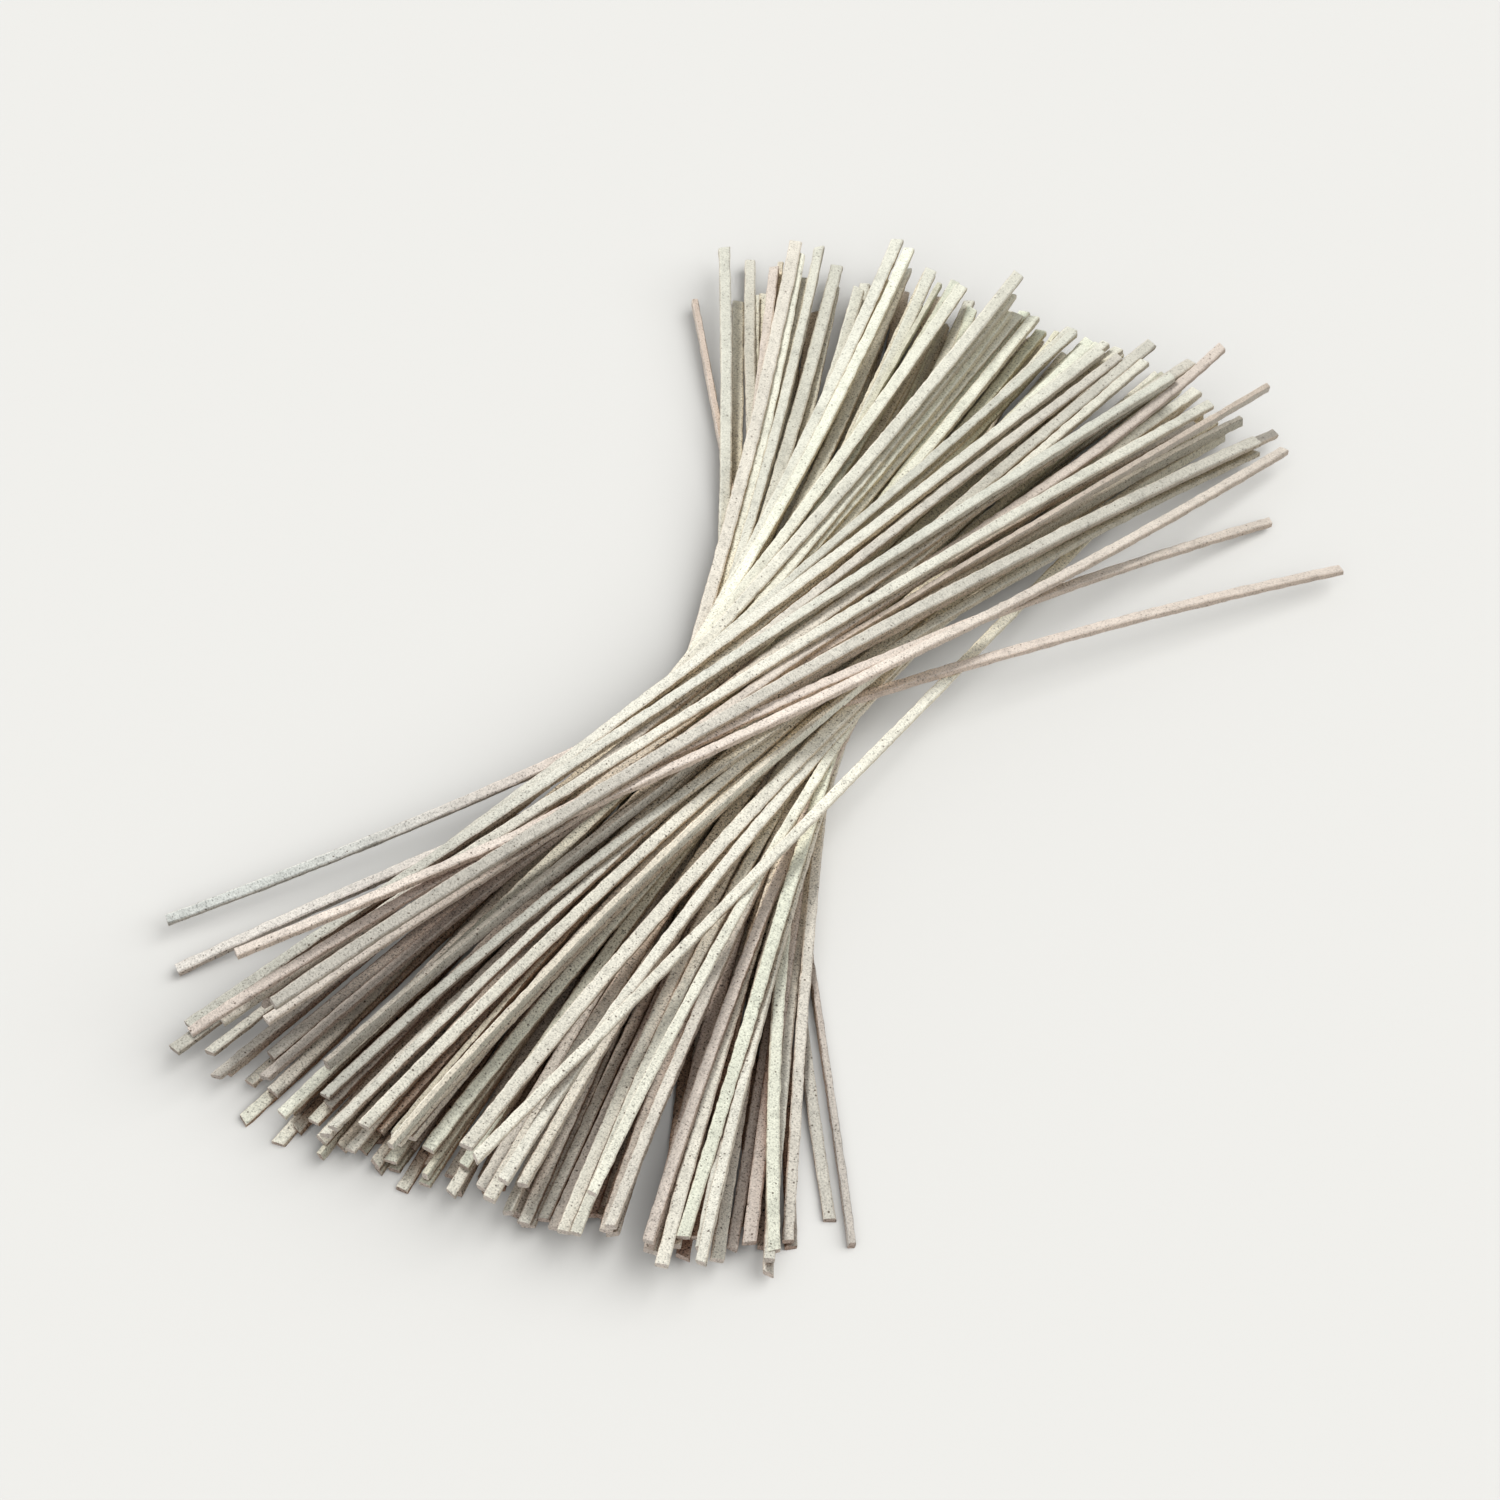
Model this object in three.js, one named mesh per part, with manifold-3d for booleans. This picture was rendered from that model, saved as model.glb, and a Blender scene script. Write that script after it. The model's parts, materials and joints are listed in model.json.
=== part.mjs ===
// A bundle of dry soba noodles: about 120 straight flat noodles that cross like a twisted
// sheaf, so that they are drawn together at the waist and fan out at both ends. Millimetres.
//
// +Y runs along the sheaf from the near fan to the far one, +X to the right, +Z up. The origin is
// on the table, under the middle of the bounding box.
//
// The noodles come from a rule. Each has a rank from the lowest layer to the highest, and its
// direction in plan turns with its rank: the lowest run from near right to far left, the highest
// from near left to far right. A few strays that lie apart from the rest are named one by one.
// settle() then lets the whole pile sink under its own weight until every noodle rests on those
// that it crosses. The solid is a core out to just under the visible noodles, with a bar fused on
// wherever a noodle stands clear of that core.

import * as THREE from 'three'
import { mergeVertices } from 'three/addons/utils/BufferGeometryUtils.js'
import Module from 'manifold-3d'

// One noodle, and how much one differs from the next
const LENGTH = 182
const WIDTH = 1.7
const THICK = 0.95
const WIDTH_SPREAD = 0.3 // as a share of the width
const THICK_SPREAD = 0.2
const ROLL_SPREAD = 0.4 // radians, for those that lie flat
const EDGE_ROLL_SPREAD = 0.5 // for those that lie on their narrow side
const ON_EDGE = 0.06 // share of the noodles that lie on their narrow side

// The pile
const SEED = 22
const REACH = 95 // plan distance from the waist over which a noodle's bow is stated
const LAYERS = [7, 9, 10, 12, 12, 12, 11, 10, 9, 6, 3] // noodles in each layer, the lowest first
const WAIST_HALF = 14.5 // half the waist's width
const WAIST_ROUND = 0.85 // how much narrower the lowest and highest layers are there
const FAN = 0.48 // sideways run of the outermost layers for each mm along the sheaf
const SHEAF = 3 // noodles side by side that run alike
const SHEAF_TURN = 0.12 // how far their direction differs from the next ones'
const BOW = 0.42 // outward bow of a noodle's ends for each mm that it lies off the middle
const HALF_HEIGHT = 10 // half the height of the waist before it settles
const LEAN = 0.1 / 14 // how a noodle beside the waist climbs, from the pile's twist
const SHORTER = 7 // how much shorter the lowest layer is
const OFFSET = -2 // where the noodles' middles lie along the sheaf, from the waist
const SLIP = 7 // how far their ends are out of line with one another
const SKEW = -0.02 // how far the whole sheaf lies turned in plan
const RANK_SPREAD = 0.12
const MID_SPREAD = 1
const SLOPE_SPREAD = 0.06
const BOW_SPREAD = 4

// Strays: near end x and y, x at the waist, far end x and y, height at the waist, rise to the far end
const STRAYS = [
  [-56.3, -71.4, -5.5, 30.8, 90.8, 14.0, 8.0], // six long ones from near left to far right
  [-51.1, -77.1, 8.2, 62.3, 65.7, 13.0, 4.0],
  [-39.5, -91.1, 8.1, 48.3, 71.7, 18.0, -3.0],
  [-38.6, -80.0, 10.7, 45.0, 83.4, 18.5, -3.0],
  [-30.9, -85.3, 5.4, 41.8, 87.1, 17.0, -4.0],
  [-34.3, -80.6, 2.2, 38.9, 89.9, 16.5, -4.0],
  [7.2, -94.1, 20.1, 30.5, 84.1, 14.0, -14.0], // the straight one right of the waist
  [-6.7, -88.4, 2.3, 23.5, 90.1, 9.0, -3.0], // the low ones right of the far fan
  [2.6, -91.9, 6.5, 30.4, 85.9, 8.0, -4.0],
  [53.2, -74.0, 2.2, -49.2, 71.1, 2.5, 1.0], // the low ones right of the near fan
  [48.6, -71.5, 1.6, -45.9, 83.2, 3.0, -2.0],
  [45.6, -78.1, 10.8, -25.4, 88.8, 5.0, -4.0],
  [45.4, -81.9, 8.2, -14.4, 88.5, 6.0, -5.0],
  [39.8, -83.1, 9.1, -24.3, 86.8, 3.0, -2.0],
  [41.6, -81.7, 9.7, -21.7, 88.4, 4.0, -2.0],
  [34.8, -87.4, 12.6, -9.9, 88.5, 10.0, -6.0],
]

// How the pile settles: the steps, how far it sinks in each, and how stiff a noodle is
const STEPS = 600
const SINK = 0.05
const PASSES = 3
const TILTS = 3 // how readily a noodle tilts, against being pushed up bodily
const BENDS = 1.5 // how readily it bends
const SPRING = 0.01 // share of a bend that springs back in each step
const EASED_FROM = 0.7 // share of the steps after which the sinking slows to nothing
const SHARE = 1.6 // a noodle pushed at t places gives way by SHARE / t ^ SHARE_POWER at each
const SHARE_POWER = 0.9
const SAG = -2 // how far the ends hang below the middle, for a noodle left alone
const SAG_SPREAD = 1.5
const STATIONS = 96 // places along the sheaf where contacts are looked for
const STATION_REACH = 1.08 * REACH // the outermost of those places, from the waist
const BURIED = 0.4 // rank below which the pile's weight presses the noodles together
const PRESSED = 0.8 // share of their height that is left between them there

// The solid
const CORE_RADIUS = 76 // from the waist to the core's end
const CORE_ROWS = 14
const CORE_COLUMNS = 10
const CORE_INSET = 1.2 // how far the noodles on top stand out of the core
const CORE_LEAST = 1.2 // the core's least height
const CORE_FOOT = 1 // how far it reaches below the table before it is cut off flat
const BASE_CUT = 0.15 // how much of the lowest noodles is taken off for a flat base
const CORE_EDGE_REACH = 0.9 * CORE_RADIUS // where the ends' edges are taken, from the waist
const CORE_MARGIN = [4, 12] // noodles at each side outside the core, at the waist and at its ends
const CORE_WINDOW = 2.5 // half the width over which the noodles' tops are averaged
const SHOW_STEPS = 60 // places along a noodle where its bar may begin or end
const SHOWS = 0.15 // how far a noodle's top clears the core where it gets a bar
const SHORTEST_BAR = 14
const BAR_STEP = 30

const { sqrt, abs, sin, cos, min, max, PI } = Math
const clamp = (value, low, high) => min(max(value, low), high)
const range = (count) => Array.from({ length: count }, (_, i) => i)

// The second Legendre polynomial: a bend that neither lifts nor tilts a noodle
const bend = (s) => 1.5 * s * s - 0.5

function draws(seed) {
  let state = seed
  return () => {
    state = (state + 0x6d2b79f5) >>> 0
    let t = state
    t = Math.imul(t ^ (t >>> 15), t | 1) >>> 0
    t = (t ^ (t + (Math.imul(t ^ (t >>> 7), t | 61) >>> 0))) >>> 0
    return ((t ^ (t >>> 14)) >>> 0) / 4294967296
  }
}

// A value from -1/2 to 1/2 of a spread
const stray = (random, spread) => (random() - 0.5) * spread

function sectionOf(random) {
  const flat = random() > ON_EDGE
  return {
    width: WIDTH * (1 + stray(random, WIDTH_SPREAD)),
    thick: THICK * (1 + stray(random, THICK_SPREAD)),
    roll: flat ? stray(random, ROLL_SPREAD) : PI / 2 + stray(random, EDGE_ROLL_SPREAD),
    sag: SAG + stray(random, SAG_SPREAD),
  }
}

// A noodle's plan is x = mid + slope y + bow (y / REACH)^2, between y0 and y1. It is rolled about
// its own length, lies at level before it settles, and rises by tilt for each mm of y.
function noodle(section, { mid, slope, bow, y0, y1, level, tilt, rank }) {
  const { width, thick, roll } = section
  return {
    ...section, mid, slope, bow, y0, y1, level, tilt, rank,
    halfWidth: (abs(cos(roll)) * width + abs(sin(roll)) * thick) / 2,
    halfHeight: (abs(sin(roll)) * width + abs(cos(roll)) * thick) / 2,
    planX: (y) => mid + slope * y + bow * (y / REACH) ** 2,
  }
}

function strayNoodles(random) {
  return STRAYS.map(([nearX, nearY, mid, farX, farY, level, rise]) => {
    const [a, b] = [nearY / REACH, farY / REACH]
    const bow = ((farX - mid) * a - (nearX - mid) * b) / (b * b * a - a * a * b)
    const slope = ((nearX - mid) / a - bow * a) / REACH
    return noodle(sectionOf(random), {
      mid, slope, bow, y0: nearY, y1: farY,
      level, tilt: rise / (2 * REACH), rank: level / HALF_HEIGHT - 1,
    })
  })
}

function layerNoodles(random) {
  const found = []
  LAYERS.forEach((count, layer) => {
    const middleRank = -1 + (2 * layer + 1) / LAYERS.length
    const half = WAIST_HALF * sqrt(1 - WAIST_ROUND * middleRank ** 2)
    let turn = 0
    for (const k of range(count)) {
      if (k % SHEAF === 0) turn = SKEW + stray(random, SHEAF_TURN)
      const rank = middleRank + stray(random, RANK_SPREAD)
      const mid = half * (-1 + (2 * k + 1) / count) + stray(random, MID_SPREAD)
      const slope = FAN * rank + turn + stray(random, SLOPE_SPREAD)
      const bow = BOW * mid + stray(random, BOW_SPREAD)
      const middle = OFFSET + stray(random, SLIP)
      const halfLength = (LENGTH - SHORTER * max(0, -rank)) / 2
      const run = sqrt(1 + slope ** 2)
      found.push(noodle(sectionOf(random), {
        mid, slope, bow, y0: (middle - halfLength) / run, y1: (middle + halfLength) / run,
        level: HALF_HEIGHT * (1 + rank), tilt: -LEAN * mid, rank,
      }))
    }
  })
  return found
}

// Every place where one noodle lies over another: which is the upper one, where along each of
// them it is, and how far apart their middles stay
function contactsOf(noodles) {
  const ys = range(STATIONS + 1).map((i) => STATION_REACH * ((2 * i) / STATIONS - 1))
  const plans = noodles.map((n) => ys.map(n.planX))
  const along = (n, y) => (2 * (y - n.y0)) / (n.y1 - n.y0) - 1
  const found = []
  noodles.forEach((p, i) => {
    for (let j = i + 1; j < noodles.length; j++) {
      const q = noodles[j]
      const square = 1 / sqrt(1 + max(p.slope ** 2, q.slope ** 2))
      const touch = p.halfWidth + q.halfWidth
      const shared = ys.map((y, g) => g).filter((g) => (
        ys[g] >= max(p.y0, q.y0) && ys[g] <= min(p.y1, q.y1)
      ))
      const apart = (g) => abs(plans[i][g] - plans[j][g]) * square
      const closest = shared.reduce((best, g) => (apart(g) < apart(best) ? g : best), shared[0])
      const y = ys[closest]
      const over = p.level + p.tilt * y > q.level + q.tilt * y
      const [upper, lower] = over ? [i, j] : [j, i]
      const press = noodles[upper].rank > BURIED ? 1 : PRESSED
      for (const g of shared.filter((station) => apart(station) < touch)) {
        const rounded = (1 - (apart(g) / touch) ** 4) ** 0.25
        const su = along(noodles[upper], ys[g])
        const sl = along(noodles[lower], ys[g])
        const weight = 2 + TILTS * (su * su + sl * sl) + BENDS * (bend(su) ** 2 + bend(sl) ** 2)
        const gap = (p.halfHeight + q.halfHeight) * rounded * press
        found.push({ upper, lower, su, sl, fu: bend(su), fl: bend(sl), gap, weight })
      }
    }
  })
  return found
}

// Each noodle's height is lift + tilt s + bend (1.5 s^2 - 0.5), with s from -1 to 1 along it. The
// pile sinks a little in each step, and then every contact and the table push back.
function settle(noodles) {
  const contacts = contactsOf(noodles)
  const count = noodles.length
  const lift = noodles.map((n) => n.level)
  const tilt = noodles.map((n) => (n.tilt * (n.y1 - n.y0)) / 2)
  const bent = noodles.map((n) => n.sag)
  const table = [-1, -0.5, 0, 0.5, 1]
  for (const step of range(STEPS)) {
    const late = max(0, step / STEPS - EASED_FROM) / (1 - EASED_FROM)
    noodles.forEach((n, i) => {
      lift[i] -= SINK * (1 - late)
      bent[i] += (n.sag - bent[i]) * SPRING
    })
    for (let pass = 0; pass < PASSES; pass++) {
      const touches = new Float64Array(count)
      const up = new Float64Array(count)
      const turn = new Float64Array(count)
      const curl = new Float64Array(count)
      for (const { upper, lower, su, sl, fu, fl, gap, weight } of contacts) {
        const above = lift[upper] + tilt[upper] * su + bent[upper] * fu
        const below = lift[lower] + tilt[lower] * sl + bent[lower] * fl
        const short = gap - (above - below)
        if (short <= 0) continue
        const push = short / weight
        touches[upper] += 1
        touches[lower] += 1
        up[upper] += push
        up[lower] -= push
        turn[upper] += push * su
        turn[lower] -= push * sl
        curl[upper] += push * fu
        curl[lower] -= push * fl
      }
      noodles.forEach((n, i) => {
        const share = SHARE / max(touches[i], 1) ** SHARE_POWER
        lift[i] += up[i] * share
        tilt[i] += TILTS * turn[i] * share
        bent[i] += BENDS * curl[i] * share
        const clear = (s) => lift[i] + tilt[i] * s + bent[i] * bend(s) - n.halfHeight
        const s = table.reduce((best, place) => (clear(place) < clear(best) ? place : best))
        const sunk = max(-clear(s), 0) / (1 + TILTS * s * s + BENDS * bend(s) ** 2)
        lift[i] += sunk
        tilt[i] += TILTS * sunk * s
        bent[i] += BENDS * sunk * bend(s)
      })
    }
  }
  return noodles.map((n, i) => ({
    ...n,
    height: (y) => {
      const s = (2 * (y - n.y0)) / (n.y1 - n.y0) - 1
      return lift[i] + tilt[i] * s + bent[i] * bend(s)
    },
  }))
}

// A closed solid through rings of points that all have as many points
function loft(rings, capRows) {
  const points = rings.flat()
  const sides = rings[0].length
  const index = []
  for (const row of range(rings.length - 1)) {
    for (const k of range(sides)) {
      const next = (k + 1) % sides
      const [a, b] = [row * sides + k, row * sides + next]
      index.push(a, b + sides, b, a, a + sides, b + sides)
    }
  }
  const last = (rings.length - 1) * sides
  for (const [a, b, c, d] of capRows) {
    index.push(a, b, c, a, c, d)
    index.push(last + a, last + c, last + b, last + a, last + d, last + c)
  }
  const geometry = new THREE.BufferGeometry()
  geometry.setAttribute('position', new THREE.Float32BufferAttribute(points.flatMap((p) => p.toArray()), 3))
  geometry.setIndex(index)
  return geometry
}

function pointOn(n, y) {
  return new THREE.Vector3(n.planX(y), y, n.height(y))
}

// A bar along a noodle between two places, with the noodle's own section and roll
function bar(n, from, to) {
  const steps = max(1, Math.round((to - from) / BAR_STEP))
  const rings = range(steps + 1).map((i) => {
    const y = from + ((to - from) * i) / steps
    const centre = pointOn(n, y)
    const along = pointOn(n, y + 0.5).sub(pointOn(n, y - 0.5)).normalize()
    const side = new THREE.Vector3().crossVectors(along, new THREE.Vector3(0, 0, 1)).normalize()
    const up = new THREE.Vector3().crossVectors(side, along)
    const wide = side.clone().multiplyScalar(cos(n.roll)).addScaledVector(up, sin(n.roll))
    const thin = up.clone().multiplyScalar(cos(n.roll)).addScaledVector(side, -sin(n.roll))
    const corners = [[1, -1], [1, 1], [-1, 1], [-1, -1]]
    return corners.map(([a, b]) => (
      centre.clone().addScaledVector(wide, (a * n.width) / 2).addScaledVector(thin, (b * n.thick) / 2)
    ))
  })
  return loft(rings, [[0, 1, 2, 3]])
}

// The core's plan narrows at the waist and ends on an arc at each fan. row runs from -1 to 1
// along the sheaf and column from -1 to 1 across it.
function corePlan(noodles) {
  const edge = (row, side) => {
    const y = row * CORE_EDGE_REACH
    const xs = noodles.filter((n) => y > n.y0 && y < n.y1).map((n) => n.planX(y))
    xs.sort((a, b) => (a - b) * side)
    return xs[Math.round(THREE.MathUtils.lerp(...CORE_MARGIN, abs(row)))]
  }
  const rows = range(CORE_ROWS + 1).map((i) => {
    const row = -1 + (2 * i) / CORE_ROWS
    return { row, left: edge(row, 1), right: edge(row, -1) }
  })
  const sample = (row, key) => {
    const place = clamp(((row + 1) / 2) * CORE_ROWS, 0, CORE_ROWS - 1e-6)
    const i = Math.floor(place)
    return THREE.MathUtils.lerp(rows[i][key], rows[i + 1][key], place - i)
  }
  return {
    at: (row, column) => {
      const x = THREE.MathUtils.lerp(sample(row, 'left'), sample(row, 'right'), (column + 1) / 2)
      return [x, row * sqrt(CORE_RADIUS ** 2 - x ** 2)]
    },
    find: (x, y) => {
      const row = y / sqrt(CORE_RADIUS ** 2 - x ** 2)
      const [left, right] = [sample(row, 'left'), sample(row, 'right')]
      return [row, (2 * (x - left)) / (right - left) - 1]
    },
  }
}

// The core follows the tops of the highest noodles a little way below them, on a flat base
function coreOf(noodles) {
  const plan = corePlan(noodles)
  const crest = (x, y) => {
    const near = noodles.filter((n) => y > n.y0 && y < n.y1 && abs(n.planX(y) - x) < CORE_WINDOW)
    const tops = near.map((n) => n.height(y) + n.halfHeight - CORE_INSET)
    return max(CORE_LEAST, ...tops)
  }
  const heights = range(CORE_ROWS + 1).map((i) => range(CORE_COLUMNS + 1).map((k) => (
    crest(...plan.at(-1 + (2 * i) / CORE_ROWS, -1 + (2 * k) / CORE_COLUMNS))
  )))
  const rings = heights.map((row, i) => {
    const places = row.map((_, k) => plan.at(-1 + (2 * i) / CORE_ROWS, -1 + (2 * k) / CORE_COLUMNS))
    const top = places.map(([x, y], k) => new THREE.Vector3(x, y, row[k]))
    const base = places.map(([x, y]) => new THREE.Vector3(x, y, -CORE_FOOT))
    return [...base, ...top.reverse()]
  })
  const sides = 2 * (CORE_COLUMNS + 1)
  const caps = range(CORE_COLUMNS).map((k) => [k, k + 1, sides - 2 - k, sides - 1 - k])
  const top = (x, y) => {
    if (x * x + y * y >= CORE_RADIUS ** 2) return -Infinity
    const [row, column] = plan.find(x, y)
    if (abs(column) > 1) return -Infinity
    const r = clamp(((row + 1) / 2) * CORE_ROWS, 0, CORE_ROWS - 1e-6)
    const c = clamp(((column + 1) / 2) * CORE_COLUMNS, 0, CORE_COLUMNS - 1e-6)
    const [i, k] = [Math.floor(r), Math.floor(c)]
    const front = THREE.MathUtils.lerp(heights[i][k], heights[i][k + 1], c - k)
    const back = THREE.MathUtils.lerp(heights[i + 1][k], heights[i + 1][k + 1], c - k)
    return THREE.MathUtils.lerp(front, back, r - i)
  }
  return { geometry: loft(rings, caps), top }
}

// The stretches of a noodle that stand clear of the core, each begun a step inside it
function shownStretches(n, coreTop) {
  const ys = range(SHOW_STEPS + 1).map((i) => n.y0 + ((n.y1 - n.y0) * i) / SHOW_STEPS)
  const clear = ys.map((y) => n.height(y) + n.halfHeight > coreTop(n.planX(y), y) + SHOWS)
  const found = []
  let start = null
  ys.forEach((y, i) => {
    if (clear[i] && start === null) start = max(i - 1, 0)
    const ends = start !== null && (!clear[i] || i === SHOW_STEPS)
    if (!ends) return
    if (y - ys[start] >= SHORTEST_BAR) found.push([ys[start], y])
    start = null
  })
  return found
}

function centred(geometry) {
  geometry.computeBoundingBox()
  const box = geometry.boundingBox
  const middle = box.getCenter(new THREE.Vector3())
  return geometry.translate(-middle.x, -middle.y, -box.min.z)
}

const wasm = await Module()
wasm.setup()

function toSolid(geometry) {
  const merged = mergeVertices(geometry, 1e-4)
  return new wasm.Manifold(new wasm.Mesh({
    numProp: 3,
    vertProperties: new Float32Array(merged.attributes.position.array),
    triVerts: new Uint32Array(merged.index.array),
  }))
}

function toGeometry(solid) {
  const mesh = solid.getMesh()
  const geometry = new THREE.BufferGeometry()
  geometry.setAttribute('position', new THREE.BufferAttribute(mesh.vertProperties, 3))
  geometry.setIndex(new THREE.BufferAttribute(mesh.triVerts, 1))
  return geometry
}

// The largest body alone above the flat base, without loose scraps and sealed hollows
function wholeBody(solid) {
  const bodies = solid.trimByPlane([0, 0, 1], BASE_CUT).decompose()
  return bodies.reduce((largest, body) => (body.volume() > largest.volume() ? body : largest))
}

function buildNoodles() {
  const random = draws(SEED)
  const noodles = settle([...strayNoodles(random), ...layerNoodles(random)])
  const core = coreOf(noodles)
  let solid = toSolid(core.geometry)
  for (const n of noodles) {
    for (const [from, to] of shownStretches(n, core.top)) {
      solid = solid.add(toSolid(bar(n, from, to)))
    }
  }
  const material = new THREE.MeshStandardMaterial({ color: 0xe3dfd2, roughness: 0.9, metalness: 0 })
  const mesh = new THREE.Mesh(centred(toGeometry(wholeBody(solid))), material)
  mesh.name = 'noodles'
  return mesh
}

const group = new THREE.Group()
group.name = 'dry_soba_noodles'
group.add(buildNoodles())

export default group
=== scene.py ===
import json
import math

import bpy
import numpy as np
from bpy.props import FloatProperty, FloatVectorProperty, IntProperty, PointerProperty
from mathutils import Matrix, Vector

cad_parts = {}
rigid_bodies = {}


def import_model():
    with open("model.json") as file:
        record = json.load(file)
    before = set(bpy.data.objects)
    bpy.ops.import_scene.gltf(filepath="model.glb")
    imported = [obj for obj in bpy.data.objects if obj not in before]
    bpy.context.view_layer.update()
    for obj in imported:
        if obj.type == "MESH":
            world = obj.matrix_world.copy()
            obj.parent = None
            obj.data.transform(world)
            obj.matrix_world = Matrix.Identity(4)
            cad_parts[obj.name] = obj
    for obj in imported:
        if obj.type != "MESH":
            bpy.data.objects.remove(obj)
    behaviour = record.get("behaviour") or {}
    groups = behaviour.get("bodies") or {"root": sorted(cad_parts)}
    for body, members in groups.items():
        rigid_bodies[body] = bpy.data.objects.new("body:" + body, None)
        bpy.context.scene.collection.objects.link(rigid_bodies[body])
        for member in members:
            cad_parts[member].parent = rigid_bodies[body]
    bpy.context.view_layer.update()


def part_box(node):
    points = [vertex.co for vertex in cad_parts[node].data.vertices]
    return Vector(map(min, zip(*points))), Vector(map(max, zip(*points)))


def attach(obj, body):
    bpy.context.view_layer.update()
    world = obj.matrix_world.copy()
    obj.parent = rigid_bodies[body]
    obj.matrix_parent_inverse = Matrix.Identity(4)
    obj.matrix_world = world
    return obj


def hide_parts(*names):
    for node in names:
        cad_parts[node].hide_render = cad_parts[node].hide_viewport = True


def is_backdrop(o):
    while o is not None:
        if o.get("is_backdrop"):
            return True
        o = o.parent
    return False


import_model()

CAD_LOW, CAD_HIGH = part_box("noodles")

bl_info = {
    "name": "Dry soba noodles",
    "version": (1, 0, 0),
    "blender": (4, 5, 0),
    "location": "3D View > Sidebar > Soba",
    "description": "Lays a loose twisted sheaf of dry buckwheat noodles on a table",
    "category": "Object",
}

MM = 0.001
FRAME_WIDTH = 1500

# The pile. Noodles lie near to far along Y. Rank runs from -1 for the lowest layer to 1 for the
# highest, and the higher a noodle lies, the more it leans to the right of the sheaf's axis.
# Lengths here are in millimetres, and a spread is the whole range of a random draw.
SEED = 22
REACH = 95.0  # from the waist to where a bow is measured
LAYERS = (7, 9, 10, 12, 12, 12, 11, 10, 9, 6, 3)  # noodles in each layer, from the lowest up
WAIST_ROUND = 0.85  # how far the waist narrows towards its lowest and highest layers
HALF_HEIGHT = 10.0  # of the pile before it sinks
SHEAF = 3  # neighbours that lie alike
SHEAF_TURN = 0.12  # spread of the slope from sheaf to sheaf
LEAN = 0.1 / 14  # fall along a noodle for each millimetre to the right at the waist
SHORTER = 7.0  # by which the lowest noodles are shorter
OFFSET = -2.0  # of the noodles' middles from the waist
SLIP = 7.0  # spread of that offset
SKEW = -0.02  # slope that all layered noodles share
RANK_SPREAD = 0.12
MID_SPREAD = 1.0
SLOPE_SPREAD = 0.06
BOW_SPREAD = 4.0
WIDTH_SPREAD = 0.3
THICK_SPREAD = 0.2
ROLL_SPREAD = 0.4  # of noodles that lie flat
EDGE_ROLL_SPREAD = 0.5  # of noodles that stand on edge
ON_EDGE = 0.06  # share of noodles that stand on edge
SAG = -2.0  # fall of a free noodle's ends
SAG_SPREAD = 1.5

# Noodles that cross the others or stray from them: near end x and y, x at the waist, far end x
# and y, level and rise from near to far.
STRAYS = (
    (-56.3, -71.4, -5.5, 30.8, 90.8, 14.0, 8.0),
    (-51.1, -77.1, 8.2, 62.3, 65.7, 13.0, 4.0),
    (-39.5, -91.1, 8.1, 48.3, 71.7, 18.0, -3.0),
    (-38.6, -80.0, 10.7, 45.0, 83.4, 18.5, -3.0),
    (-30.9, -85.3, 5.4, 41.8, 87.1, 17.0, -4.0),
    (-34.3, -80.6, 2.2, 38.9, 89.9, 16.5, -4.0),
    (7.2, -94.1, 20.1, 30.5, 84.1, 14.0, -14.0),
    (-6.7, -88.4, 2.3, 23.5, 90.1, 9.0, -3.0),
    (2.6, -91.9, 6.5, 30.4, 85.9, 8.0, -4.0),
    (53.2, -74.0, 2.2, -49.2, 71.1, 2.5, 1.0),
    (48.6, -71.5, 1.6, -45.9, 83.2, 3.0, -2.0),
    (45.6, -78.1, 10.8, -25.4, 88.8, 5.0, -4.0),
    (45.4, -81.9, 8.2, -14.4, 88.5, 6.0, -5.0),
    (39.8, -83.1, 9.1, -24.3, 86.8, 3.0, -2.0),
    (41.6, -81.7, 9.7, -21.7, 88.4, 4.0, -2.0),
    (34.8, -87.4, 12.6, -9.9, 88.5, 10.0, -6.0),
)

# Where each colour of the dough lies on the scale of casts
CASTS = (("green", 0.0), ("cream", 0.35), ("grey", 0.62), ("pink", 1.0), ("cool", 1.3))

# Casts by rank: the lowest noodles are grey to rosy, the middle ones green, the highest rosy.
# The shades are added to the brightness. Those below 0 are painted shade on the highest noodles: they
# darken them on the near fan and fade out past it.
RANKS = (-1.0, -0.2, 0.1, 0.45, 0.7)
RANK_CASTS = (0.75, 0.6, 0.2, 0.15, 0.65)
RANK_SHADES = (0.0, 0.0, 0.0, 0.2, -1.6)
BUNCH_SPREAD = 0.5
CAST_SPREAD = 0.4
TWIST_SPREAD = 2.0

# The strays' cast and brightness, in the same order
STRAY_LOOKS = (
    (1.3, 0.3), (1.15, 0.9), (0.97, 0.5), (0.93, 0.8), (0.85, 0.3), (0.9, 0.4), (0.3, 0.9),
    (0.6, 0.0), (0.55, 0.1), (1.2, 0.2), (0.7, 0.0), (0.75, 0.8), (0.1, 0.9), (0.9, 0.0),
    (0.95, 0.1), (0.05, 0.9),
)

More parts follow.
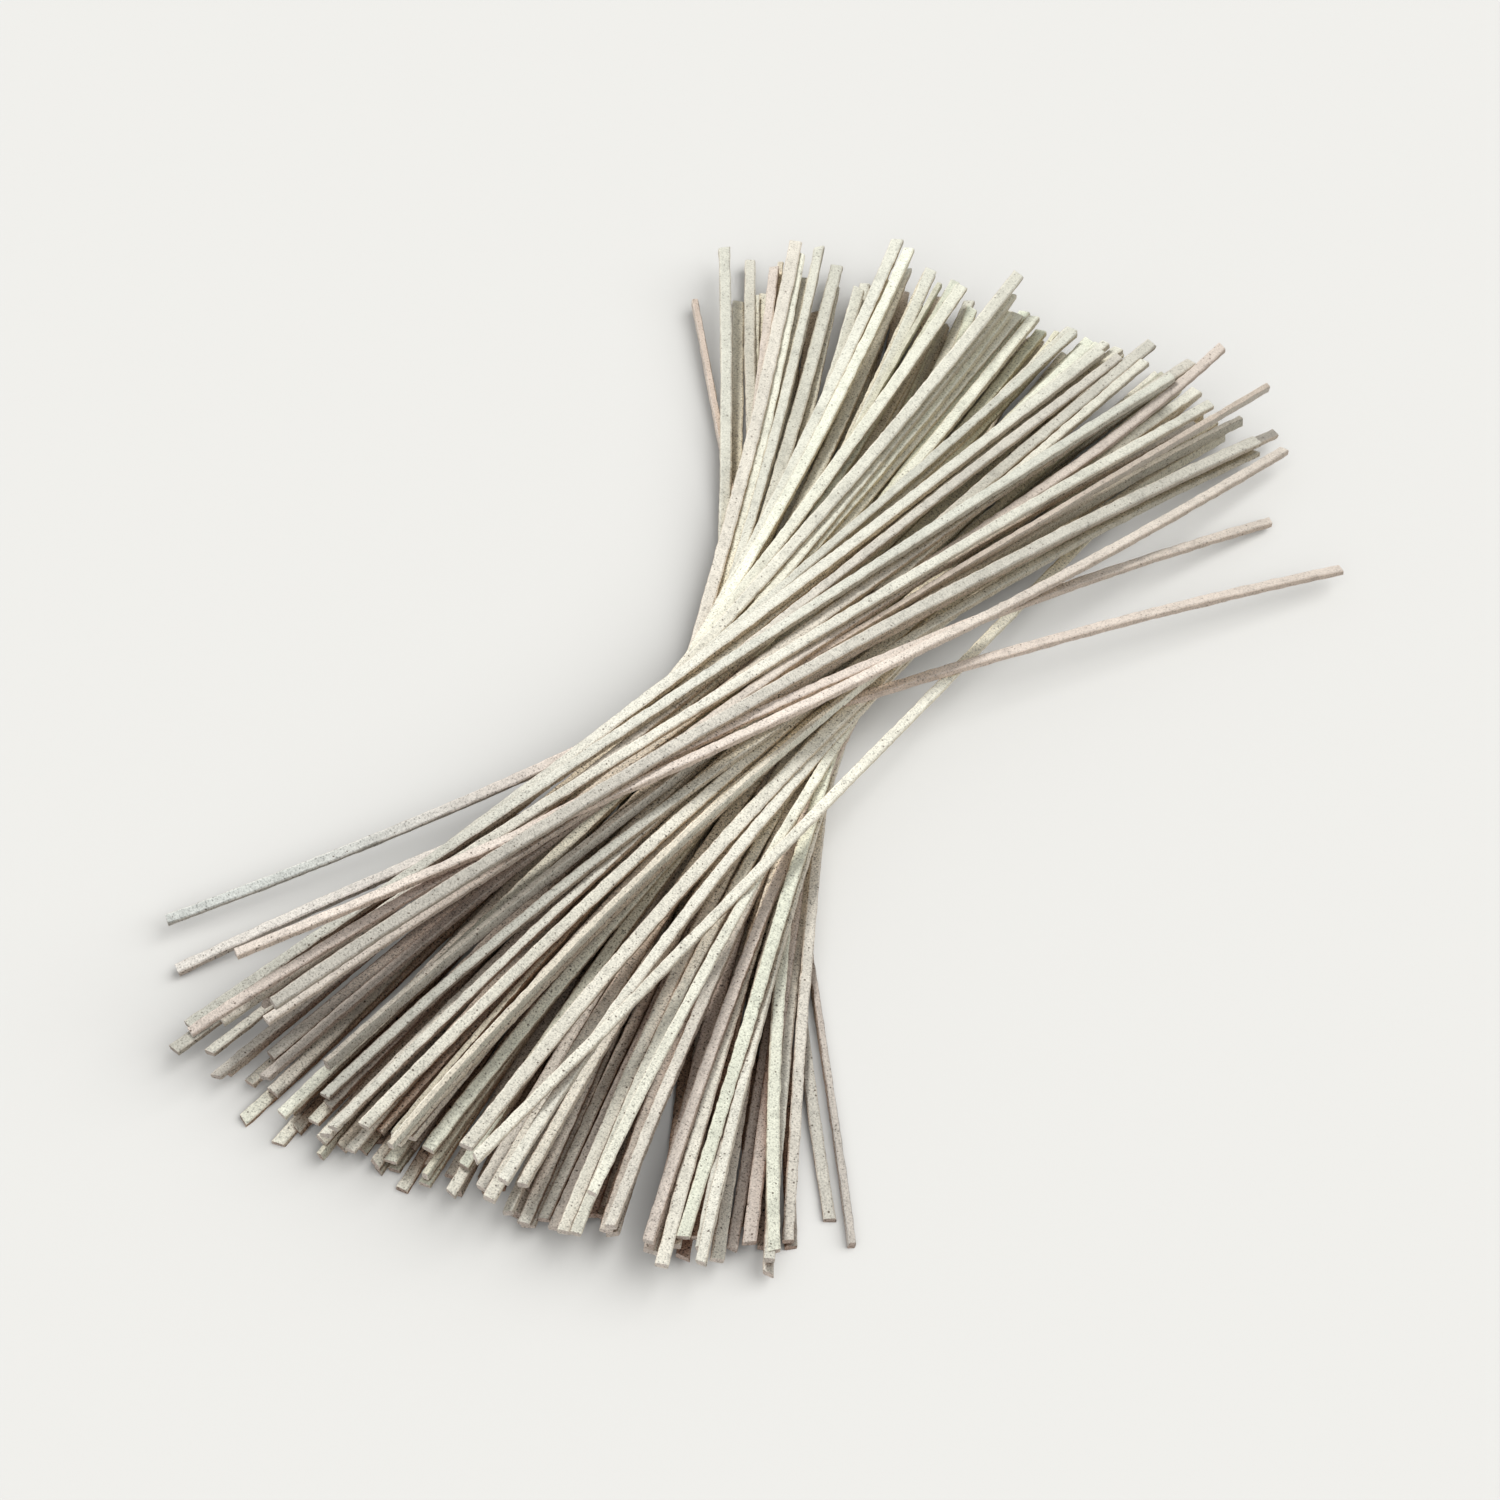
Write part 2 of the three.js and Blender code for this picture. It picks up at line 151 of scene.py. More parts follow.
# How the pile comes to rest: small steps down, and pushes apart where noodles touch
STEPS = 600
SINK = 0.05  # fall in one step
EASED_FROM = 0.7  # share of the steps after which the fall slows down to nothing
PASSES = 3  # rounds of pushes in one step
TILTS = 3.0  # how readily a push tilts a noodle, against lifting it
BENDS = 1.5  # how readily it bends it
SPRING = 0.01  # how fast a bent noodle goes back to its own sag
STATIONS = 96  # places along the sheaf where noodles are compared
REACH_MARGIN = 1.08
BURIED = 0.4  # rank up to which noodles are pressed together
PRESSED = 0.8  # how close those lie, as a share of their heights
SHARE = 1.6  # of a push, spread over a noodle's contacts
SHARE_POWER = 0.9
CONTACT_POWER = 4  # how square the noodles' rounded sections are where they touch
BASE_CUT = 0.15  # by which the pile stands lower, with its underside flat on the table

# The finish of each noodle is drawn apart from the pile, so that it can change alone
FINISH_SEED = 12

# The pieces of the layered noodles, each with the share of them at which it ends
GROUPS = (
    ("noodles_low", 0.36),
    ("noodles_middle", 0.7),
    ("noodles_high", 1.0),
)
STRAY_PIECE = "noodles_crossing"

# How long the waver, swells and crumbs of a noodle are, in metres
WAVER_LENGTH = 0.038
SWELL_LENGTH = 0.009
CRUMB_LENGTH = 0.0013
CRUMB_ROUND = 0.9  # the crumbs' scale across the section
NOISE_STEP = 7.31  # between one noodle's noise and the next one's
SLANT_GAIN = 4.0
SHARP_BEND = math.radians(30)

# The dough, in millimetres. DUST and HUSK are spacing, radius and the share of places with a
# fleck. PATCHES, BRIGHT, HOLLOW_STRENGTH and END_DEPTH are a gain and an offset.
NEAR_FAN = (-60.0, -10.0)  # where the near fan's look, with its painted shade, goes over to that of the rest
FAR_FAN = (-30.0, 60.0)  # where the far fan's look comes in, with painted shade that makes it darker and greener
WAIST = (45.0, 10.0)  # from the waist, where painted light that brightens the noodles comes in
WAIST_PAINTED_LIGHT = 1.1
GRAIN_SIZE = 0.28
GRAIN_CONTRAST = 0.36
GRAIN_IN_HOLLOW_SHADE = 0.5  # added to the contrast of the grain in the hollows
GRAIN_FAR = -0.35  # how much fainter grain and flecks are in the far fan
BROAD_SIZE = 2.6
BROAD_CONTRAST = 0.09
PATCH_SIZE = 14
PATCHES = (0.3, 0.85)
BRIGHT = (0.15, 0.91)
# The hollows hold painted shade: the colour darkens and browns where little open sky reaches a place.
HOLLOW_REACH = 8
HOLLOW = (0.85, 0.15)  # open sky over a place, from no painted shade to the full painted shade of the hollows
HOLLOW_STRENGTH = (0.6, 0.6)
DUST = (0.45, 0.07, 0.6)
DUST_DEPTH = 0.35
HUSK = (0.9, 0.12, 0.8)
HUSK_DEPTH = 0.85
SIDE = (-0.05, 0.12)  # where a noodle's broad face goes over to its cut side, which has painted shade
END = (0.95, 0.6)  # where the rim of a cut end goes over to its inside
END_DEPTH = (0.5, 0.5)
ROUGHNESS = (0.3, 0.7, 0.98, 0.82)
BUMP = 0.55
GRAIN_BUMP = 0.1
BROAD_BUMP = 2.0
HUSK_BUMP = 0.4
OWN_PLACE = (13.7, 5.1, 9.3)  # how far one noodle's grain is from the next one's
HUSK_PLACE = (31.0, 7.0, 3.0)
GOLDEN = 0.618  # spreads the noodles' numbers evenly from 0 to 1

# The camera's place from the middle, in millimetres: the waist is up and to the right of it
OFF_MIDDLE = (-1.45, -2.17, 0)
TABLE_HALF = 3.0


# ---------------------------------------------------------------- settings


class SobaNoodleSettings(bpy.types.PropertyGroup):
    """The sizes of one noodle"""

    length: FloatProperty(
        name="Length",
        description="Length a noodle is cut to",
        default=182 * MM,
        unit="LENGTH",
        precision=4,
    )
    width: FloatProperty(
        name="Width",
        description="Mean width across the broad face",
        default=1.7 * MM,
        unit="LENGTH",
        precision=5,
    )
    thickness: FloatProperty(
        name="Thickness",
        description="Mean thickness between the broad faces",
        default=0.95 * MM,
        unit="LENGTH",
        precision=5,
    )
    chamfer: FloatProperty(
        name="Worn corner",
        description="Share of the half section that the worn long edges take",
        default=0.28,
        min=0.02,
        max=0.9,
        subtype="FACTOR",
    )
    segments: IntProperty(
        name="Segments",
        description="Faces along one noodle",
        default=240,
        min=8,
        max=400,
    )
    ragged: FloatProperty(
        name="Ragged edge",
        description="How far the crumbly edges stray from straight",
        default=0.19 * MM,
        unit="LENGTH",
        precision=5,
    )
    waver: FloatProperty(
        name="Waver",
        description="How far a dried noodle strays from its smooth line",
        default=0.25 * MM,
        unit="LENGTH",
        precision=5,
    )
    swell: FloatProperty(
        name="Swell",
        description="Share by which the section swells and narrows along a noodle",
        default=0.11,
        min=0.0,
        max=0.6,
        subtype="FACTOR",
    )
    slant: FloatProperty(
        name="Slant of the cut",
        description="How far a cut end may lean along the noodle",
        default=0.5 * MM,
        unit="LENGTH",
        precision=5,
    )
    twist: FloatProperty(
        name="Twist",
        description="Most that a noodle turns about its own line from the middle to an end",
        default=math.radians(9),
        subtype="ANGLE",
    )


class SobaSheafSettings(bpy.types.PropertyGroup):
    """The sizes of the twisted sheaf"""

    waist_half_width: FloatProperty(
        name="Waist half width",
        description="Half of the sheaf's width where it is drawn together",
        default=14.5 * MM,
        unit="LENGTH",
        precision=4,
    )
    fan: FloatProperty(
        name="Fan",
        description="Slope across the sheaf of the highest and lowest noodles",
        default=0.48,
        min=0.0,
        max=1.0,
    )
    bow: FloatProperty(
        name="Bow",
        description="How far a noodle bends outwards at its ends, for its place at the waist",
        default=0.42,
        min=-1.0,
        max=1.0,
    )


class SobaColourSettings(bpy.types.PropertyGroup):
    """The colours of the dried dough, and of the shade painted on it"""

    green: FloatVectorProperty(
        name="Pale green dough",
        description="Colour of the noodles with a green cast",
        default=(0.565, 0.58, 0.478),
        subtype="COLOR",
        min=0.0,
        max=1.0,
    )
    cream: FloatVectorProperty(
        name="Cream dough",
        description="Colour of the palest noodles",
        default=(0.61, 0.585, 0.505),
        subtype="COLOR",
        min=0.0,
        max=1.0,
    )
    pink: FloatVectorProperty(
        name="Rosy dough",
        description="Colour of the noodles with a rosy cast",
        default=(0.525, 0.455, 0.40),
        subtype="COLOR",
        min=0.0,
        max=1.0,
    )
    grey: FloatVectorProperty(
        name="Grey dough",
        description="Colour of the greyer noodles",
        default=(0.52, 0.51, 0.445),
        subtype="COLOR",
        min=0.0,
        max=1.0,
    )
    cool: FloatVectorProperty(
        name="Blue-grey dough",
        description="Colour of the coldest noodle's near end",
        default=(0.50, 0.515, 0.485),
        subtype="COLOR",
        min=0.0,
        max=1.0,
    )
    husk: FloatVectorProperty(
        name="Husk",
        description="Colour of the flecks of husk",
        default=(0.07, 0.05, 0.035),
        subtype="COLOR",
        min=0.0,
        max=1.0,
    )
    cut: FloatVectorProperty(
        name="Cut end",
        description="Colour of the cut ends",
        default=(0.52, 0.46, 0.41),
        subtype="COLOR",
        min=0.0,
        max=1.0,
    )
    # Painted shade: the narrow sides are darkened and browned, whatever the light.
    side: FloatVectorProperty(
        name="Painted side shade",
        description="How the colour browns on the narrow sides, where the dough was cut",
        default=(0.93, 0.88, 0.845),
        subtype="COLOR",
        min=0.0,
        max=1.0,
    )
    # Painted shade in the hollows: the colour that places with little open sky are darkened and
    # browned by.
    hollow_shade: FloatVectorProperty(
        name="Painted hollow shade",
        description="How the colour darkens and browns where noodles lie close under others",
        default=(0.46, 0.285, 0.205),
        subtype="COLOR",
        min=0.0,
        max=1.0,
    )
    # The same painted hollow shade, lighter past the near fan.
    hollow_shade_far: FloatVectorProperty(
        name="Painted hollow shade, past the near fan",
        description="The same past the near fan, where the hollows are lighter",
        default=(1.0, 0.885, 0.735),
        subtype="COLOR",
        min=0.0,
        max=1.0,
    )
    # Painted shade: the colour darker and greener towards the far fan.
    far: FloatVectorProperty(
        name="Far fan",
        description="How the colour darkens and turns greener towards the far fan",
        default=(0.95, 0.965, 0.955),
        subtype="COLOR",
        min=0.0,
        max=1.0,
    )


class SobaStageSettings(bpy.types.PropertyGroup):
    """The table, the light and the camera"""

    table_colour: FloatVectorProperty(
        name="Table",
        description="Colour of the plain table",
        default=(0.33, 0.327, 0.3155),
        subtype="COLOR",
        min=0.0,
        max=1.0,
    )
    sky: FloatProperty(
        name="Fill light",
        description="Strength of the even light from all round",
        default=0.78,
        min=0.0,
    )
    key: FloatProperty(
        name="Key light",
        description="Strength of the light from the left, in watts on each square metre at the waist",
        default=3.0,
        min=0.0,
    )
    key_distance: FloatProperty(
        name="Key light distance",
        description="Distance from the key light to the waist",
        default=0.5,
        unit="LENGTH",
    )
    table_light: FloatProperty(
        name="Table light",
        description="Strength of the broad light on the table from the far right",
        default=5.35,
        min=0.0,
    )
    table_fill: FloatProperty(
        name="Table fill",
        description="Strength of the light on the table from the camera's side",
        default=2.45,
        min=0.0,
    )
    table_light_turn: FloatProperty(
        name="Table light turn",
        description="Turn of that light from the near side, to the right",
        default=math.radians(118),
        subtype="ANGLE",
    )
    table_light_height: FloatProperty(
        name="Table light height",
        description="Angle of that light above the table",
        default=math.radians(48),
        subtype="ANGLE",
    )
    table_light_softness: FloatProperty(
        name="Table light softness",
        description="Angle that each light on the table takes up",
        default=math.radians(64),
        subtype="ANGLE",
    )
    key_softness: FloatProperty(
        name="Key light softness",
        description="Angle that the key light takes up, seen from the table",
        default=math.radians(14),
        subtype="ANGLE",
    )
    key_turn: FloatProperty(
        name="Key light turn",
        description="Turn of the key light from the near side, to the right",
        default=math.radians(-116),
        subtype="ANGLE",
    )
    key_height: FloatProperty(
        name="Key light height",
        description="Angle of the key light above the table",
        default=math.radians(56),
        subtype="ANGLE",
    )
    camera_turn: FloatProperty(
        name="Camera turn",
        description="Turn of the camera from the near side, to the right",
        default=math.radians(28),
        subtype="ANGLE",
    )
    camera_height: FloatProperty(
        name="Camera height",
        description="Angle of the camera above the table",
        default=math.radians(50),
        subtype="ANGLE",
    )
    waist: FloatVectorProperty(
        name="Waist",
        description="Where the sheaf is drawn together on the table",
        default=(-3.02 * MM, 1.88 * MM, 0),
        subtype="XYZ",
        unit="LENGTH",
    )
    camera_distance: FloatProperty(
        name="Camera distance",
        description="Distance from the camera to the sheaf's waist",
        default=0.8,
        unit="LENGTH",
    )
    scale_in_frame: FloatProperty(
        name="Scale in the frame",
        description="Pixels for each millimetre at the waist, in the full frame",
        default=6.9,
    )


# ---------------------------------------------------------------- the pile


def draws(seed):
    """A small seeded generator of numbers from 0 to 1, the same one as the solids use."""
    mask = 0xFFFFFFFF
    state = seed

    def draw():
        nonlocal state
        state = (state + 0x6D2B79F5) & mask
        t = state
        t = ((t ^ (t >> 15)) * (t | 1)) & mask
        t = (t ^ (t + ((t ^ (t >> 7)) * (t | 61) & mask))) & mask
        return ((t ^ (t >> 14)) & mask) / (mask + 1)

    return draw


def stray(random, size):
    return (random() - 0.5) * size


def bend(s):
    """A level line that curves up to both ends, for s from -1 to 1."""
    return 1.5 * s * s - 0.5


def section_of(random, noodle):
    flat = random() > ON_EDGE
    width = noodle.width / MM * (1 + stray(random, WIDTH_SPREAD))
    thick = noodle.thickness / MM * (1 + stray(random, THICK_SPREAD))
    roll = stray(random, ROLL_SPREAD) if flat else math.pi / 2 + stray(random, EDGE_ROLL_SPREAD)
    return {"width": width, "thick": thick, "roll": roll, "sag": SAG + stray(random, SAG_SPREAD)}


def crossing_noodles(random, noodle):
    """The strays, each a curve through its two ends and its place at the waist."""
    rows = []
    for near_x, near_y, mid, far_x, far_y, level, rise in STRAYS:
        section = section_of(random, noodle)
        a = near_y / REACH
        b = far_y / REACH
        bow = ((far_x - mid) * a - (near_x - mid) * b) / (b * b * a - a * a * b)
        slope = ((near_x - mid) / a - bow * a) / REACH
        rows.append({
            **section, "mid": mid, "slope": slope, "bow": bow, "y0": near_y, "y1": far_y,
            "level": level, "tilt": rise / (2 * REACH), "rank": level / HALF_HEIGHT - 1,
        })
    return rows


def layered_noodles(random, noodle, sheaf):
    """The layers of the sheaf from the lowest up, in small bunches that lie alike."""
    rows = []
    for layer, count in enumerate(LAYERS):
        q = -1 + (2 * layer + 1) / len(LAYERS)
        half = sheaf.waist_half_width / MM * math.sqrt(1 - WAIST_ROUND * q * q)
        for k in range(count):
            if k % SHEAF == 0:
                turn = SKEW + stray(random, SHEAF_TURN)
            rank = q + stray(random, RANK_SPREAD)
            mid = half * (-1 + (2 * k + 1) / count) + stray(random, MID_SPREAD)
            slope = sheaf.fan * rank + turn + stray(random, SLOPE_SPREAD)
            bow = sheaf.bow * mid + stray(random, BOW_SPREAD)
            middle = OFFSET + stray(random, SLIP)
            half_length = (noodle.length / MM - SHORTER * max(0, -rank)) / 2
            run = math.sqrt(1 + slope * slope)
            rows.append({
                **section_of(random, noodle), "mid": mid, "slope": slope, "bow": bow,
                "y0": (middle - half_length) / run, "y1": (middle + half_length) / run,
                "level": HALF_HEIGHT * (1 + rank), "tilt": -LEAN * mid, "rank": rank,
            })
    return rows


def contacts_of(n, half_width, half_height):
    """Every place where two noodles cross or lie along each other: which one is above, where
    along each the place is, and how far apart their middles are to be."""
    ys = np.linspace(-REACH * REACH_MARGIN, REACH * REACH_MARGIN, STATIONS + 1)
    plan = n["mid"][:, None] + n["slope"][:, None] * ys + n["bow"][:, None] * (ys / REACH) ** 2
    inside = (ys >= n["y0"][:, None]) & (ys <= n["y1"][:, None])
    places = 2 * (ys - n["y0"][:, None]) / (n["y1"] - n["y0"])[:, None] - 1
    i, j = np.triu_indices(len(n["mid"]), 1)
    square = 1 / np.sqrt(1 + np.maximum(n["slope"][i] ** 2, n["slope"][j] ** 2))
    apart = np.abs(plan[i] - plan[j]) * square[:, None]
    shared = inside[i] & inside[j]
    touch = (half_width[i] + half_width[j])[:, None]
    nearest = ys[np.where(shared, apart, np.inf).argmin(1)]
    above = n["level"][i] + n["tilt"][i] * nearest > n["level"][j] + n["tilt"][j] * nearest
    pair, place = np.nonzero(shared & (apart < touch))
    upper = np.where(above, i, j)[pair]
    lower = np.where(above, j, i)[pair]
    beside = (apart[pair, place] / touch[pair, 0]) ** CONTACT_POWER
    rounding = (1 - beside) ** (1 / CONTACT_POWER)
    pressed = np.where(n["rank"][upper] > BURIED, 1, PRESSED)
    gap = (half_height[upper] + half_height[lower]) * rounding * pressed
    return upper, lower, places[upper, place], places[lower, place], gap


def settle(n, half_width, half_height):
    """Lets the noodles sink, and pushes them apart where they touch, until the pile is at rest.
    Returns each noodle's height at its middle, its rise to the far end and its bend."""
    upper, lower, at_upper, at_lower, gap = contacts_of(n, half_width, half_height)
    bend_upper = bend(at_upper)
    bend_lower = bend(at_lower)
    weight = 2 + TILTS * (at_upper**2 + at_lower**2) + BENDS * (bend_upper**2 + bend_lower**2)
    count = len(half_width)
    lift = n["level"].copy()
    tilt = n["tilt"] * (n["y1"] - n["y0"]) / 2
    bent = n["sag"].copy()
    rests = np.array([-1, -0.5, 0, 0.5, 1])
    rows = np.arange(count)
    for step in range(STEPS):
        late = max(0.0, step - STEPS * EASED_FROM) / (STEPS * (1 - EASED_FROM))
        lift -= SINK * (1 - late)
        bent += (n["sag"] - bent) * SPRING
        for _ in range(PASSES):
            above = lift[upper] + tilt[upper] * at_upper + bent[upper] * bend_upper
            below = lift[lower] + tilt[lower] * at_lower + bent[lower] * bend_lower
            short = gap - (above - below)
            hit = np.flatnonzero(short > 0)
            up = upper[hit]
            low = lower[hit]
            push = short[hit] / weight[hit]

            def pushes(for_upper, for_lower):
                return np.bincount(up, for_upper, count) - np.bincount(low, for_lower, count)

            touches = np.bincount(up, minlength=count) + np.bincount(low, minlength=count)
            share = SHARE / np.maximum(touches, 1) ** SHARE_POWER
            lift += pushes(push, push) * share
            tilt += TILTS * pushes(push * at_upper[hit], push * at_lower[hit]) * share
            bent += BENDS * pushes(push * bend_upper[hit], push * bend_lower[hit]) * share
            clear = lift[:, None] + tilt[:, None] * rests + bent[:, None] * bend(rests)
            clear -= half_height[:, None]
            lowest = clear.argmin(1)
            s = rests[lowest]
            sunk = np.maximum(-clear[rows, lowest], 0) / (1 + TILTS * s * s + BENDS * bend(s) ** 2)
            lift += sunk
            tilt += TILTS * sunk * s
            bent += BENDS * sunk * bend(s)
    return lift, tilt, bent


def plan_middle(n, half_width):
    """The middle of the box round the noodles, seen from above."""
    s = np.linspace(-1, 1, STATIONS + 1)
    y = (n["y0"] + n["y1"])[:, None] / 2 + (n["y1"] - n["y0"])[:, None] / 2 * s
    x = n["mid"][:, None] + n["slope"][:, None] * y + n["bow"][:, None] * (y / REACH) ** 2
    left = (x - half_width[:, None]).min()
    right = (x + half_width[:, None]).max()
    return (left + right) / 2, (y.min() + y.max()) / 2


def finishes(noodles):
    """Each noodle's cast of colour, its brightness and its twist. Bunches share part of a cast.
    The brightness is random with the shades by rank added, and those below 0 are painted shade.
    """
    random = draws(FINISH_SEED)
    rows = []
    for k, noodle in enumerate(noodles):
        if k % SHEAF == 0:
            bunch = stray(random, BUNCH_SPREAD)
        cast = np.interp(noodle["rank"], RANKS, RANK_CASTS) + bunch + stray(random, CAST_SPREAD)
        shade = np.interp(noodle["rank"], RANKS, RANK_SHADES)
        rows.append((min(max(cast, 0), 1), random() + shade, stray(random, TWIST_SPREAD)))
    rows = np.array(rows)
    rows[: len(STRAY_LOOKS), :2] = STRAY_LOOKS
    return rows


def pile_of(noodle, sheaf):
    """All noodles at rest: a dict of arrays in millimetres, with the strays first."""
    random = draws(SEED)
    rows = crossing_noodles(random, noodle) + layered_noodles(random, noodle, sheaf)
    n = {key: np.array([row[key] for row in rows]) for key in rows[0]}
    wide = np.abs(np.cos(n["roll"]))
    high = np.abs(np.sin(n["roll"]))
    half_width = (wide * n["width"] + high * n["thick"]) / 2
    half_height = (high * n["width"] + wide * n["thick"]) / 2
    n["lift"], n["rise"], n["bent"] = settle(n, half_width, half_height)
    n["cast"], n["value"], n["twist"] = finishes(rows).T
    n["number"] = np.arange(len(rows), dtype=float)
    n["middle"] = plan_middle(n, half_width)
    return n


# ---------------------------------------------------------------- node trees


class Nodes:
    """Adds nodes to one tree. Values are given in the order of a node's sockets, each a number,
    a vector, a name or another node's output."""

    COLUMN = 190
    ROW = 170
    PER_ROW = 12

    def __init__(self, tree):
        self.tree = tree

    def add(self, kind, *values, **settings):
        node = self.tree.nodes.new(kind)
        place = len(self.tree.nodes)
        node.location = (place % self.PER_ROW * self.COLUMN, -(place // self.PER_ROW) * self.ROW)
        for name, value in settings.items():
            setattr(node, name, value)
        sockets = [socket for socket in node.inputs if socket.enabled]
        for socket, value in zip(sockets, values):
            if value is None:
                continue
            if isinstance(value, bpy.types.NodeSocket):
                self.tree.links.new(value, socket)
            else:
                socket.default_value = value
        return node

    def out(self, kind, *values, **settings):
        """The first output in use of a new node."""
        node = self.add(kind, *values, **settings)
        return next(socket for socket in node.outputs if socket.enabled)

    def math(self, operation, *values):
        return self.out("ShaderNodeMath", *values, operation=operation)

    def vector(self, operation, *values):
        return self.out("ShaderNodeVectorMath", *values, operation=operation)

    def split(self, vector):
        return self.add("ShaderNodeSeparateXYZ", vector).outputs

    def join(self, x, y, z):
        return self.out("ShaderNodeCombineXYZ", x, y, z)

    def mix(self, factor, a, b):
        return self.out("ShaderNodeMix", factor, a, b, data_type="RGBA")

    def grey(self, value):
        return self.join(value, value, value)

    def ramp(self, value, low, high, start=0.0, end=1.0):
        """Carries value from the range low to high smoothly over to the range start to end."""
        return self.out(
            "ShaderNodeMapRange", value, low, high, start, end, interpolation_type="SMOOTHSTEP"
        )


def add_inputs(tree, rows):
    """Named inputs of a tree: name, kind and default."""
    for name, kind, default in rows:
        socket = tree.interface.new_socket(name, in_out="INPUT", socket_type=f"NodeSocket{kind}")
        if default is not None:
            socket.default_value = default


def set_input(modifier, name, value):
    """Sets a modifier's input, found by its name, by the identifier of its socket."""
    sockets = modifier.node_group.interface.items_tree
    identifier = next(s.identifier for s in sockets if s.name == name and s.in_out == "INPUT")
    modifier[identifier] = value


# ---------------------------------------------------------------- the noodles' shape


def unit_bar(n, segments, chamfer):
    """A bar two units long and two units square with worn corners. 'along' and 'profile' keep
    where each point lies on it, and 'cut' marks its end faces."""
    square = n.out("GeometryNodeCurvePrimitiveQuadrilateral", 2.0, 2.0)
    corners = n.out("GeometryNodeFilletCurve", square, 1, chamfer, mode="POLY")
    place = n.out("GeometryNodeInputPosition")
    outline = n.out(
        "GeometryNodeStoreNamedAttribute", corners, None, "profile", place,
        data_type="FLOAT_VECTOR", domain="POINT",
    )
    line = n.out("GeometryNodeCurvePrimitiveLine", (0, 0, -1), (0, 0, 1))
    points = n.out("GeometryNodeResampleCurve", line, None, n.math("ADD", segments, 1), mode="COUNT")
    rail = n.out(
        "GeometryNodeStoreNamedAttribute", points, None, "along", n.split(place)[2],
        data_type="FLOAT", domain="POINT",
    )
    bar = n.out("GeometryNodeCurveToMesh", rail, outline, 1.0, True)
    facing = n.math("ABSOLUTE", n.split(n.add("GeometryNodeInputNormal").outputs[0])[2])
    marked = n.out(
        "GeometryNodeStoreNamedAttribute", bar, None, "cut", n.math("GREATER_THAN", facing, 0.9),
        data_type="FLOAT", domain="FACE",
    )
    smooth = n.out("GeometryNodeSetShadeSmooth", marked, None, True, domain="FACE")
    bends = n.math("GREATER_THAN", n.out("GeometryNodeInputMeshEdgeAngle"), SHARP_BEND)
    return n.out("GeometryNodeSetShadeSmooth", smooth, bends, False, domain="EDGE")


